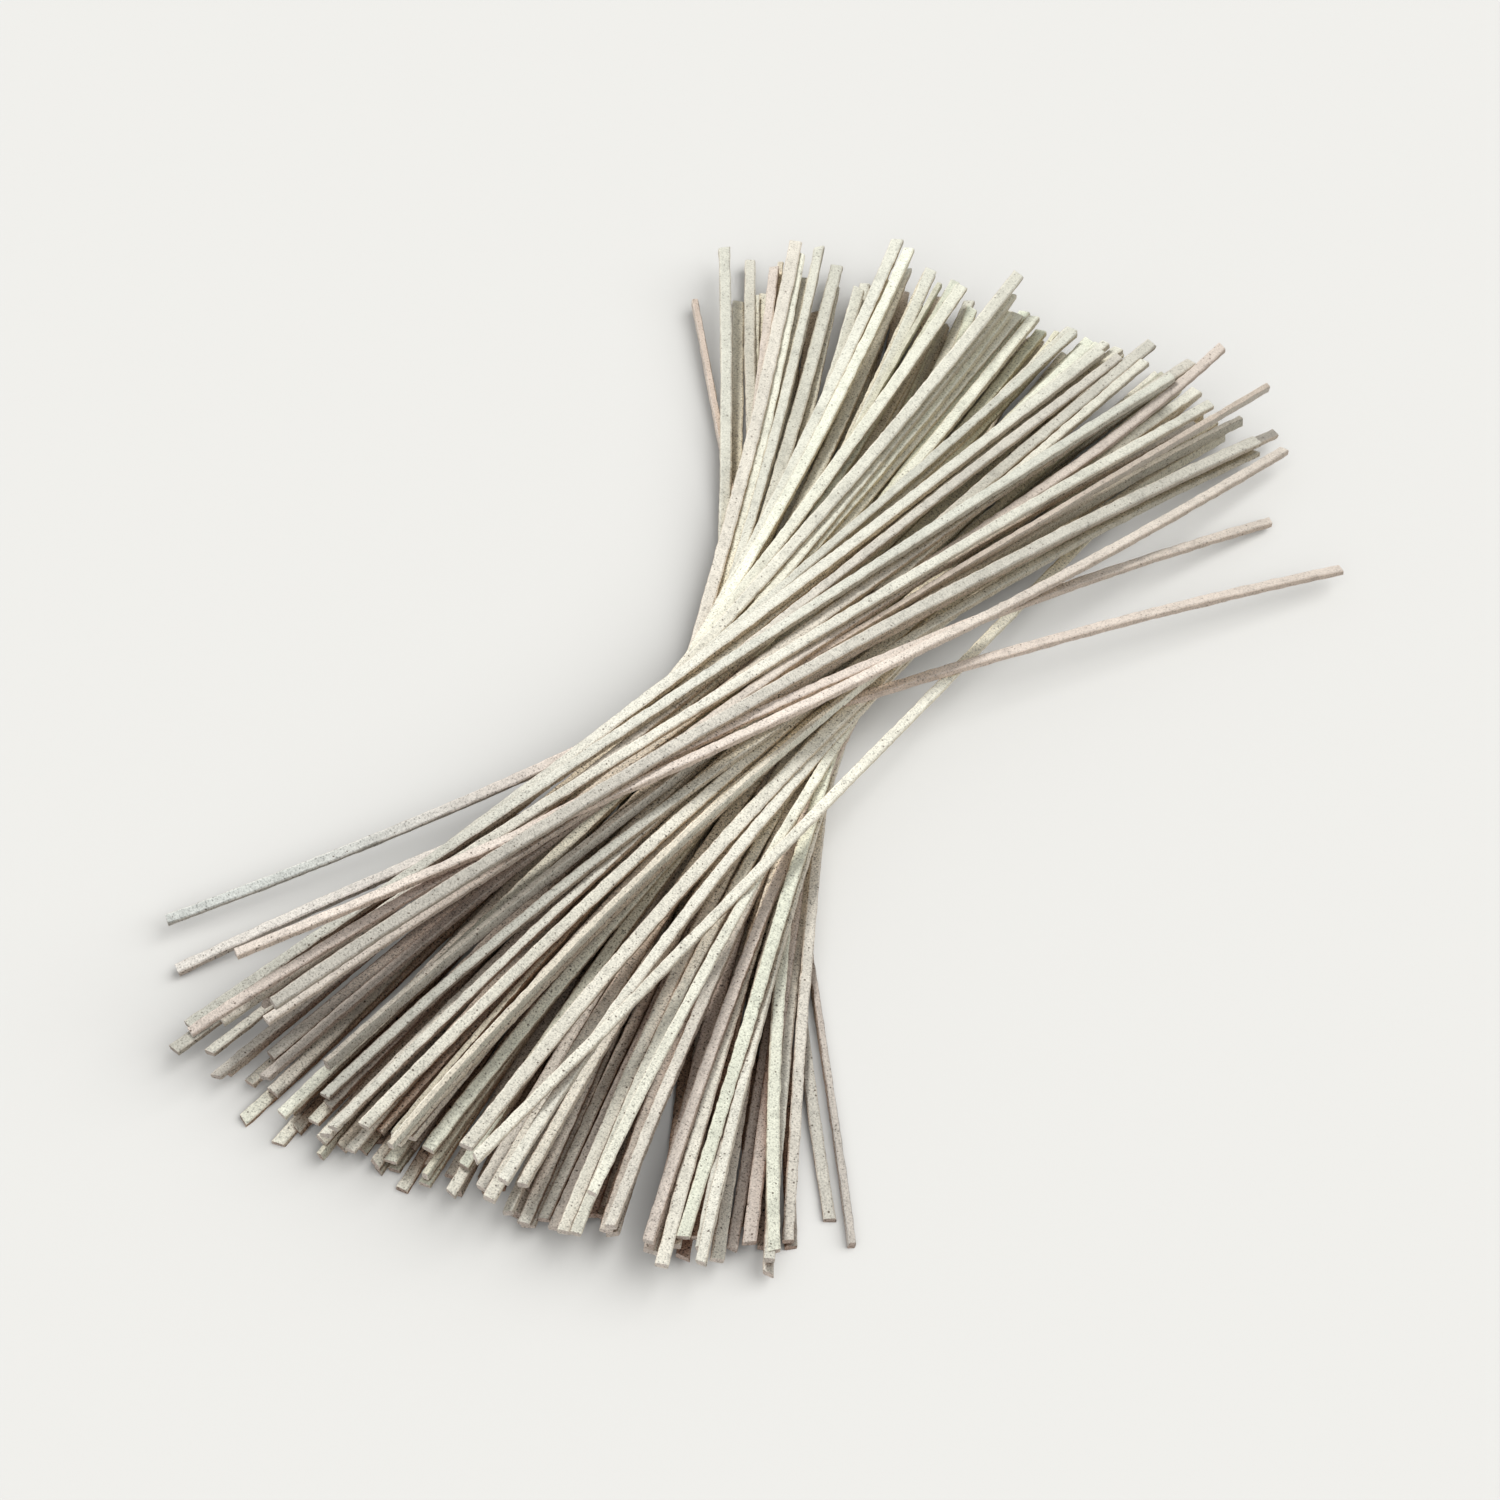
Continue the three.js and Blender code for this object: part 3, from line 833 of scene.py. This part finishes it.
def noodle_tree():
    """Turns each point of a mesh into a noodle. The points carry the noodle's path, span, rise
    and section, and the tree's inputs the sizes that all noodles share."""
    tree = bpy.data.node_groups.new("Dry noodles", "GeometryNodeTree")
    add_inputs(tree, (
        ("Geometry", "Geometry", None),
        ("Offset", "Vector", None),
        ("Reach", "Float", REACH * MM),
        ("Segments", "Int", 240),
        ("Worn corner", "Float", 0.2),
        ("Ragged edge", "Float", 0.1 * MM),
        ("Waver", "Float", 0.3 * MM),
        ("Swell", "Float", 0.2),
        ("Slant of the cut", "Float", 0.4 * MM),
        ("Twist", "Float", 0.1),
        ("Material", "Material", None),
    ))
    tree.interface.new_socket("Geometry", in_out="OUTPUT", socket_type="NodeSocketGeometry")
    tree.is_modifier = True
    n = Nodes(tree)
    given = n.add("NodeGroupInput").outputs

    bar = unit_bar(n, given["Segments"], given["Worn corner"])
    bars = n.out("GeometryNodeInstanceOnPoints", given["Geometry"], None, bar)
    noodles = n.out("GeometryNodeRealizeInstances", bars)

    def read(name, data_type="FLOAT_VECTOR"):
        return n.out("GeometryNodeInputNamedAttribute", name, data_type=data_type)

    mid, slope, bow = n.split(read("path"))
    near, far, twist = n.split(read("span"))
    lift, rise, bent = n.split(read("rise"))
    width, thick, roll = n.split(read("section"))
    number = n.split(read("look"))[2]
    across, through, _ = n.split(read("profile"))
    s = read("along", "FLOAT")

    half = n.math("MULTIPLY", n.math("SUBTRACT", far, near), 0.5)
    y = n.math("MULTIPLY_ADD", half, s, n.math("MULTIPLY", n.math("ADD", far, near), 0.5))
    t = n.math("DIVIDE", y, given["Reach"])
    curve = n.math("MULTIPLY", bow, n.math("MULTIPLY", t, t))
    x = n.math("ADD", n.math("MULTIPLY_ADD", slope, y, mid), curve)
    sag = n.math("MULTIPLY_ADD", n.math("MULTIPLY", s, s), 1.5, -0.5)
    z = n.math("MULTIPLY_ADD", bent, sag, n.math("MULTIPLY_ADD", rise, s, lift))

    turning = n.math("DIVIDE", n.math("MULTIPLY", bow, n.math("MULTIPLY", t, 2.0)), given["Reach"])
    climb = n.math("MULTIPLY_ADD", n.math("MULTIPLY", bent, 3.0), s, rise)
    ahead = n.join(n.math("ADD", slope, turning), 1.0, n.math("DIVIDE", climb, half))
    ahead = n.vector("NORMALIZE", ahead)
    side = n.vector("NORMALIZE", n.vector("CROSS_PRODUCT", ahead, (0, 0, 1)))
    up = n.vector("CROSS_PRODUCT", side, ahead)
    twisted = n.math("MULTIPLY", n.math("MULTIPLY", twist, given["Twist"]), s)
    roll = n.math("ADD", roll, twisted)
    cos = n.math("COSINE", roll)
    sin = n.math("SINE", roll)

    wide = n.vector("ADD", n.vector("SCALE", side, cos), n.vector("SCALE", up, sin))
    thin = n.vector("SUBTRACT", n.vector("SCALE", up, cos), n.vector("SCALE", side, sin))

    def noise(vector, detail):
        """Three numbers from about -0.5 to 0.5 that change along and over the noodle."""
        node = n.add(
            "ShaderNodeTexNoise", vector, n.math("MULTIPLY", number, NOISE_STEP), 1.0, detail,
            noise_dimensions="4D",
        )
        return n.vector("SUBTRACT", node.outputs["Color"], (0.5, 0.5, 0.5))

    slow = noise(n.join(0.0, n.math("DIVIDE", y, WAVER_LENGTH), 0.0), 1.0)
    swelling = noise(n.join(0.0, n.math("DIVIDE", y, SWELL_LENGTH), 3.0), 1.0)
    crumbs = n.join(
        n.math("MULTIPLY", across, CRUMB_ROUND),
        n.math("DIVIDE", y, CRUMB_LENGTH),
        n.math("MULTIPLY", through, CRUMB_ROUND),
    )
    rough = noise(crumbs, 2.0)

    swell = n.split(n.vector("SCALE", swelling, n.math("MULTIPLY", given["Swell"], 2.0)))
    half_width = n.math("MULTIPLY", width, n.math("MULTIPLY_ADD", swell[0], 0.5, 0.5))
    half_thick = n.math("MULTIPLY", thick, n.math("MULTIPLY_ADD", swell[1], 0.5, 0.5))
    outward = n.vector(
        "ADD",
        n.vector("SCALE", wide, n.math("MULTIPLY", across, half_width)),
        n.vector("SCALE", thin, n.math("MULTIPLY", through, half_thick)),
    )
    at_end = n.math("GREATER_THAN", n.math("ABSOLUTE", s), 0.9999)
    lean = n.math("MULTIPLY", n.split(slow)[1], across)
    lean = n.math("MULTIPLY", n.math("MULTIPLY", lean, given["Slant of the cut"]), SLANT_GAIN)
    cut = n.vector("SCALE", ahead, n.math("MULTIPLY", lean, at_end))
    wavering = n.vector("SCALE", slow, n.math("MULTIPLY", given["Waver"], 2.0))
    crumbling = n.vector("SCALE", rough, n.math("MULTIPLY", given["Ragged edge"], 2.0))

    place = n.vector("ADD", n.join(x, y, z), given["Offset"])
    for shift in (outward, wavering, crumbling, cut):
        place = n.vector("ADD", place, shift)
    place = n.split(place)
    above_table = n.join(place[0], place[1], n.math("MAXIMUM", place[2], 0.0))

    shaped = n.out("GeometryNodeSetPosition", noodles, None, above_table)
    realized = n.out("GeometryNodeRealizeInstances", shaped)
    finished = n.out("GeometryNodeSetMaterial", realized, None, given["Material"])
    n.add("NodeGroupOutput", finished)
    return tree


POINT_ATTRIBUTES = ("path", "span", "rise", "section")


def noodle_points(n, chosen):
    """A mesh with one point for each chosen noodle, which carries its shape in metres."""
    keep = {key: value[chosen] for key, value in n.items() if key != "middle"}
    mesh = bpy.data.meshes.new("Noodle points")
    mesh.vertices.add(len(chosen))
    columns = {
        "path": (keep["mid"] * MM, keep["slope"], keep["bow"] * MM),
        "span": (keep["y0"] * MM, keep["y1"] * MM, keep["twist"]),
        "rise": (keep["lift"] * MM, keep["rise"] * MM, keep["bent"] * MM),
        "section": (keep["width"] * MM, keep["thick"] * MM, keep["roll"]),
        "look": (keep["cast"], keep["value"], keep["number"]),
    }
    for name, values in columns.items():
        attribute = mesh.attributes.new(name, "FLOAT_VECTOR", "POINT")
        attribute.data.foreach_set("vector", np.column_stack(values).astype(np.float32).ravel())
    return mesh


def make_noodles(name, n, chosen, noodle, material):
    """One piece with the chosen noodles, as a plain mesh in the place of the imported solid."""
    source = bpy.data.objects.new("Noodle source", noodle_points(n, chosen))
    bpy.context.collection.objects.link(source)
    tree = bpy.data.node_groups.get("Dry noodles") or noodle_tree()
    modifier = source.modifiers.new("Dry noodles", "NODES")
    modifier.node_group = tree
    centre = (CAD_LOW + CAD_HIGH) / 2
    x, y = n["middle"]
    for label, value in (
        ("Offset", (centre.x - x * MM, centre.y - y * MM, -BASE_CUT * MM)),
        ("Reach", REACH * MM),
        ("Segments", noodle.segments),
        ("Worn corner", noodle.chamfer),
        ("Ragged edge", noodle.ragged),
        ("Waver", noodle.waver),
        ("Swell", noodle.swell),
        ("Slant of the cut", noodle.slant),
        ("Twist", noodle.twist),
        ("Material", material),
    ):
        set_input(modifier, label, value)
    depsgraph = bpy.context.evaluated_depsgraph_get()
    mesh = bpy.data.meshes.new_from_object(source.evaluated_get(depsgraph))
    points = source.data
    bpy.data.objects.remove(source)
    bpy.data.meshes.remove(points)
    if not mesh.polygons:
        raise RuntimeError(f"{name} has no faces")
    for attribute in POINT_ATTRIBUTES:
        mesh.attributes.remove(mesh.attributes[attribute])
    mesh.name = name
    piece = bpy.data.objects.new(name, mesh)
    bpy.context.collection.objects.link(piece)
    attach(piece, "root")
    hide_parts("noodles")
    return piece


# ---------------------------------------------------------------- finishes


def new_shader_group(name, inputs, outputs):
    group = bpy.data.node_groups.new(name, "ShaderNodeTree")
    add_inputs(group, inputs)
    for label, kind in outputs:
        group.interface.new_socket(label, in_out="OUTPUT", socket_type=f"NodeSocket{kind}")
    n = Nodes(group)
    return group, n, n.add("NodeGroupInput").outputs


def grain_group():
    """Floury grain: a factor for the colour, and a height. Place is in millimetres."""
    group, n, given = new_shader_group(
        "Floury grain",
        (("Place", "Vector", None), ("Size", "Float", 0.3), ("Contrast", "Float", 0.2)),
        (("Factor", "Float"), ("Height", "Float")),
    )
    scale = n.math("DIVIDE", 1.0, given["Size"])
    fine = n.out("ShaderNodeTexNoise", given["Place"], scale, 3.0, 0.7)
    centred = n.math("SUBTRACT", fine, 0.5)
    factor = n.math("MULTIPLY_ADD", centred, n.math("MULTIPLY", given["Contrast"], 4.0), 1.0)
    pits = n.ramp(fine, 0.44, 0.32)
    darker = n.math("SUBTRACT", factor, n.math("MULTIPLY", pits, given["Contrast"]))
    n.add("NodeGroupOutput", darker, n.math("SUBTRACT", fine, n.math("MULTIPLY", pits, 0.3)))
    return group


def fleck_group():
    """Flecks of husk: a mask of small uneven dots. Place is in millimetres."""
    group, n, given = new_shader_group(
        "Husk flecks",
        (
            ("Place", "Vector", None),
            ("Spacing", "Float", 1.0),
            ("Radius", "Float", 0.1),
            ("Share", "Float", 0.5),
        ),
        (("Mask", "Float"),),
    )
    wobble = n.add("ShaderNodeTexNoise", given["Place"], 6.0, 1.0).outputs["Color"]
    wobble = n.vector("MULTIPLY", n.vector("SUBTRACT", wobble, (0.5, 0.5, 0.5)), (0.15, 0.15, 0.15))
    moved = n.vector("ADD", given["Place"], wobble)
    cells = n.add("ShaderNodeTexVoronoi", moved, n.math("DIVIDE", 1.0, given["Spacing"]))
    distance = n.math("MULTIPLY", cells.outputs["Distance"], given["Spacing"])
    chance = n.split(cells.outputs["Color"])
    size = n.math("MULTIPLY", given["Radius"], n.math("MULTIPLY_ADD", chance[1], 0.9, 0.55))
    dot = n.ramp(n.math("DIVIDE", distance, size), 1.15, 0.75)
    kept = n.math("LESS_THAN", chance[0], given["Share"])
    n.add("NodeGroupOutput", n.math("MULTIPLY", dot, kept))
    return group


def use_group(n, group, *values):
    node = n.add("ShaderNodeGroup", node_tree=group)
    for socket, value in zip(node.inputs, values):
        if isinstance(value, bpy.types.NodeSocket):
            n.tree.links.new(value, socket)
        else:
            socket.default_value = value
    return node.outputs


def dough_material(colours):
    """Dry buckwheat dough: matt and floury, with husk, in casts that differ between noodles. It
    also holds painted light and shade: brighter towards the waist, darker and greener towards
    the far fan, darker on the near fan's highest noodles, and darker and browner in the hollows
    and on the narrow sides."""
    material = bpy.data.materials.new("Dry buckwheat dough")
    material.use_nodes = True
    tree = material.node_tree
    tree.nodes.clear()
    n = Nodes(tree)
    shader = n.add("ShaderNodeBsdfPrincipled")
    shader.inputs["Specular IOR Level"].default_value = 0.25
    n.add("ShaderNodeOutputMaterial", shader.outputs[0])

    place = n.add("ShaderNodeTexCoord").outputs["Object"]
    place = n.vector("MULTIPLY", place, (1 / MM, 1 / MM, 1 / MM))
    along = n.split(place)[1]
    is_far = n.ramp(along, *FAR_FAN)
    past_near_fan = n.ramp(along, *NEAR_FAN)

    def read(name):
        return n.add("ShaderNodeAttribute", attribute_name=name)

    cast, value, number = n.split(read("look").outputs["Vector"])
    across, through, _ = n.split(read("profile").outputs["Vector"])
    is_cut = read("cut").outputs["Fac"]
    # Painted shade in the hollows: darker and browner where little open sky reaches, more on some
    # noodles than others.
    hollows = n.add("ShaderNodeAmbientOcclusion", (1, 1, 1, 1), HOLLOW_REACH * MM, samples=8)
    chance = n.math("FRACT", n.math("MULTIPLY", number, GOLDEN))
    strength = n.math("MULTIPLY_ADD", chance, *HOLLOW_STRENGTH)
    hollow_shade = n.math("MULTIPLY", n.ramp(hollows.outputs["AO"], *HOLLOW), strength)
    own = n.vector("ADD", place, n.vector("MULTIPLY", n.grey(number), OWN_PLACE))

    last = CASTS[-1][1]
    past_rosy = n.math("MAXIMUM", n.math("SUBTRACT", cast, 1.0), 0.0)
    cast = n.math("SUBTRACT", cast, n.math("MULTIPLY", past_rosy, past_near_fan))
    ramp = n.add("ShaderNodeValToRGB", n.math("DIVIDE", cast, last))
    stops = ramp.color_ramp.elements
    stops.remove(stops[1])
    for name, position in CASTS:
        stop = stops[0] if position == 0 else stops.new(position / last)
        stop.color = (*getattr(colours, name), 1)

    grain = grain_group()
    flecks = fleck_group()
    softer = n.math("MULTIPLY_ADD", is_far, GRAIN_FAR, 1.0)
    contrast = n.math("MULTIPLY_ADD", hollow_shade, GRAIN_IN_HOLLOW_SHADE, GRAIN_CONTRAST)
    contrast = n.math("MULTIPLY", contrast, softer)
    fine, fine_height = use_group(n, grain, own, GRAIN_SIZE, contrast)
    broad, broad_height = use_group(n, grain, own, BROAD_SIZE, BROAD_CONTRAST)
    patches = n.out("ShaderNodeTexNoise", own, 1 / PATCH_SIZE, 1.0)
    patches = n.math("MULTIPLY_ADD", patches, *PATCHES)
    # Brightness: random tone, plus painted shade on the near fan's highest noodles that fades out
    # past the near fan, and painted light towards the waist.
    fading = n.math("MULTIPLY", value, n.math("SUBTRACT", 1.0, past_near_fan))
    tone_and_painted_light = n.math("MULTIPLY_ADD", n.math("MAXIMUM", value, fading), *BRIGHT)
    painted_light_at_waist = n.ramp(n.math("ABSOLUTE", along), *WAIST, 1.0, WAIST_PAINTED_LIGHT)
    tone_and_painted_light = n.math("MULTIPLY", tone_and_painted_light, painted_light_at_waist)
    factor = n.math("MULTIPLY", n.math("MULTIPLY", fine, broad), n.math("MULTIPLY", patches, tone_and_painted_light))
    dough = n.vector("MULTIPLY", ramp.outputs[0], n.grey(factor))
    # Painted shade towards the far fan: the colour darker and greener.
    dough = n.mix(is_far, dough, n.vector("MULTIPLY", dough, colours.far))

    dust = use_group(n, flecks, own, *DUST)[0]
    husk = use_group(n, flecks, n.vector("ADD", own, HUSK_PLACE), *HUSK)[0]
    husky = dough
    for mask, depth in ((dust, DUST_DEPTH), (husk, HUSK_DEPTH)):
        cover = n.math("MULTIPLY", mask, n.math("MULTIPLY", softer, depth))
        husky = n.mix(cover, husky, (*colours.husk, 1))

    # Painted shade on the narrow sides: darker and browner, whatever the light.
    narrow = n.math("SUBTRACT", n.math("ABSOLUTE", across), n.math("ABSOLUTE", through))
    narrow = n.ramp(narrow, *SIDE)
    husky = n.mix(narrow, husky, n.vector("MULTIPLY", husky, colours.side))

    inner = n.ramp(n.math("MAXIMUM", n.math("ABSOLUTE", across), n.math("ABSOLUTE", through)), *END)
    end = n.vector("MULTIPLY", colours.cut[:], n.grey(factor))
    end = n.mix(n.math("MULTIPLY_ADD", inner, *END_DEPTH), husky, end)
    colour = n.mix(is_cut, husky, end)
    # The painted hollow shade is darker and browner on the near fan than past it.
    shade = n.mix(past_near_fan, (*colours.hollow_shade, 1), (*colours.hollow_shade_far, 1))
    colour = n.mix(hollow_shade, colour, n.vector("MULTIPLY", colour, shade))
    tree.links.new(colour, shader.inputs["Base Color"])

    tree.links.new(n.ramp(fine_height, *ROUGHNESS), shader.inputs["Roughness"])
    height = n.math("MULTIPLY_ADD", broad_height, BROAD_BUMP, fine_height)
    height = n.math("SUBTRACT", height, n.math("MULTIPLY", husk, HUSK_BUMP))
    bump = n.add("ShaderNodeBump", BUMP, GRAIN_BUMP * MM, 1.0, height)
    tree.links.new(bump.outputs[0], shader.inputs["Normal"])
    return material


def table_material(colour):
    """A plain pale table top."""
    material = bpy.data.materials.new("Plain table")
    material.use_nodes = True
    shader = material.node_tree.nodes["Principled BSDF"]
    shader.inputs["Base Color"].default_value = (*colour, 1)
    shader.inputs["Roughness"].default_value = 0.9
    shader.inputs["Specular IOR Level"].default_value = 0.1
    return material


# ---------------------------------------------------------------- operators


class SOBA_OT_layers(bpy.types.Operator):
    """Lay the layered noodles of the sheaf, in three pieces from the lowest up"""

    bl_idname = "soba.layers"
    bl_label = "Lay the layers"

    def execute(self, context):
        scene = context.scene
        n = pile_of(scene.soba_noodle, scene.soba_sheaf)
        material = dough_of(scene)
        layered = np.arange(len(STRAYS), len(n["mid"]))
        start = 0
        for name, share in GROUPS:
            end = round(len(layered) * share)
            make_noodles(name, n, layered[start:end], scene.soba_noodle, material)
            start = end
        return {"FINISHED"}


class SOBA_OT_strays(bpy.types.Operator):
    """Lay the stray noodles that cross the sheaf"""

    bl_idname = "soba.strays"
    bl_label = "Lay the strays"

    def execute(self, context):
        scene = context.scene
        n = pile_of(scene.soba_noodle, scene.soba_sheaf)
        chosen = np.arange(len(STRAYS))
        make_noodles(STRAY_PIECE, n, chosen, scene.soba_noodle, dough_of(scene))
        return {"FINISHED"}


class SOBA_OT_stage(bpy.types.Operator):
    """Set the table, the light and the camera"""

    bl_idname = "soba.stage"
    bl_label = "Set the stage"

    def execute(self, context):
        scene = context.scene
        stage = scene.soba_stage
        add_table(stage)
        add_light(scene, stage)
        add_camera(scene, stage)
        scene.view_settings.view_transform = "Standard"
        return {"FINISHED"}


def dough_of(scene):
    """The noodles' material, made once."""
    return bpy.data.materials.get("Dry buckwheat dough") or dough_material(scene.soba_colours)


def direction(turn, height):
    """The unit vector to a place seen at that turn and height. Turn 0 is on the near side, and
    a positive turn goes to the right."""
    level = math.cos(height)
    return Vector((math.sin(turn) * level, -math.cos(turn) * level, math.sin(height)))


def add_table(stage):
    mesh = bpy.data.meshes.new("Table")
    corners = [(x * TABLE_HALF, y * TABLE_HALF, 0) for x, y in ((-1, -1), (1, -1), (1, 1), (-1, 1))]
    mesh.from_pydata(corners, [], [(0, 1, 2, 3)])
    mesh.materials.append(table_material(stage.table_colour))
    table = bpy.data.objects.new("Table", mesh)
    bpy.context.collection.objects.link(table)
    table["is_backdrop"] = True


def light_sets():
    """The pieces of food and the table, each as a set that a light can be kept to."""
    sets = {name: bpy.data.collections.new(name) for name in ("Food", "Table top")}
    for piece in bpy.context.scene.objects:
        if piece.type == "MESH":
            sets["Table top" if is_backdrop(piece) else "Food"].objects.link(piece)
    return sets


def add_lamp(name, kind, place, lit):
    """A light at a place, turned to the waist and kept to one set of pieces."""
    light = bpy.data.lights.new(name, kind)
    lamp = bpy.data.objects.new(name, light)
    lamp.location = place
    lamp.rotation_euler = place.to_track_quat("Z", "Y").to_euler()
    lamp.light_linking.receiver_collection = lit
    bpy.context.collection.objects.link(lamp)
    return light


def add_light(scene, stage):
    """A key light from the left on the noodles, a broad light on the table that throws the
    sheaf's shadow to the near left, a fainter one from the camera's side that lightens it, and
    an even light from all round."""
    sets = light_sets()
    toward = direction(stage.key_turn, stage.key_height)
    key = add_lamp("Key light", "AREA", toward * stage.key_distance, sets["Food"])
    key.shape = "DISK"
    key.size = 2 * stage.key_distance * math.tan(stage.key_softness / 2)
    key.energy = stage.key * math.pi * stage.key_distance**2
    above = direction(stage.table_light_turn, stage.table_light_height)
    broad = add_lamp("Table light", "SUN", above, sets["Table top"])
    broad.angle = stage.table_light_softness
    broad.energy = stage.table_light
    beside = direction(stage.camera_turn, stage.camera_height)
    fill = add_lamp("Table fill", "SUN", beside, sets["Table top"])
    fill.angle = stage.table_light_softness
    fill.energy = stage.table_fill
    world = bpy.data.worlds.new("Even light")
    world.use_nodes = True
    background = world.node_tree.nodes["Background"]
    background.inputs["Color"].default_value = (1, 1, 1, 1)
    background.inputs["Strength"].default_value = stage.sky
    scene.world = world


def add_camera(scene, stage):
    """Looks at the sheaf's waist, which is a little off the middle of the frame."""
    camera = bpy.data.cameras.new("Camera")
    camera.sensor_width = 36
    focal = stage.scale_in_frame * stage.camera_distance / MM
    camera.lens = focal / FRAME_WIDTH * camera.sensor_width
    camera.clip_start = 0.01
    camera.clip_end = 20
    back = direction(stage.camera_turn, stage.camera_height)
    holder = bpy.data.objects.new("Camera", camera)
    holder.rotation_euler = back.to_track_quat("Z", "Y").to_euler()
    turned = holder.rotation_euler.to_matrix()
    waist = Vector(stage.waist)
    off_middle = turned @ Vector(OFF_MIDDLE) * MM
    holder.location = waist + back * stage.camera_distance + off_middle
    bpy.context.collection.objects.link(holder)
    scene.camera = holder


class SOBA_PT_panel(bpy.types.Panel):
    """Dry soba noodles"""

    bl_idname = "SOBA_PT_panel"
    bl_label = "Dry soba noodles"
    bl_space_type = "VIEW_3D"
    bl_region_type = "UI"
    bl_category = "Soba"

    def draw(self, context):
        scene = context.scene
        for settings in (scene.soba_noodle, scene.soba_sheaf, scene.soba_colours, scene.soba_stage):
            box = self.layout.box()
            for name in settings.bl_rna.properties.keys():
                if name not in ("rna_type", "name"):
                    box.prop(settings, name)
        for operator in (SOBA_OT_layers, SOBA_OT_strays, SOBA_OT_stage):
            self.layout.operator(operator.bl_idname)


CLASSES = (
    SobaNoodleSettings,
    SobaSheafSettings,
    SobaColourSettings,
    SobaStageSettings,
    SOBA_OT_layers,
    SOBA_OT_strays,
    SOBA_OT_stage,
    SOBA_PT_panel,
)
SETTINGS = {
    "soba_noodle": SobaNoodleSettings,
    "soba_sheaf": SobaSheafSettings,
    "soba_colours": SobaColourSettings,
    "soba_stage": SobaStageSettings,
}


def register():
    for cls in CLASSES:
        bpy.utils.register_class(cls)
    for name, cls in SETTINGS.items():
        setattr(bpy.types.Scene, name, PointerProperty(type=cls))


def unregister():
    for name in SETTINGS:
        delattr(bpy.types.Scene, name)
    for cls in reversed(CLASSES):
        bpy.utils.unregister_class(cls)


def main():
    register()
    bpy.ops.soba.layers()
    bpy.ops.soba.strays()
    bpy.ops.soba.stage()


if __name__ == "__main__":
    main()
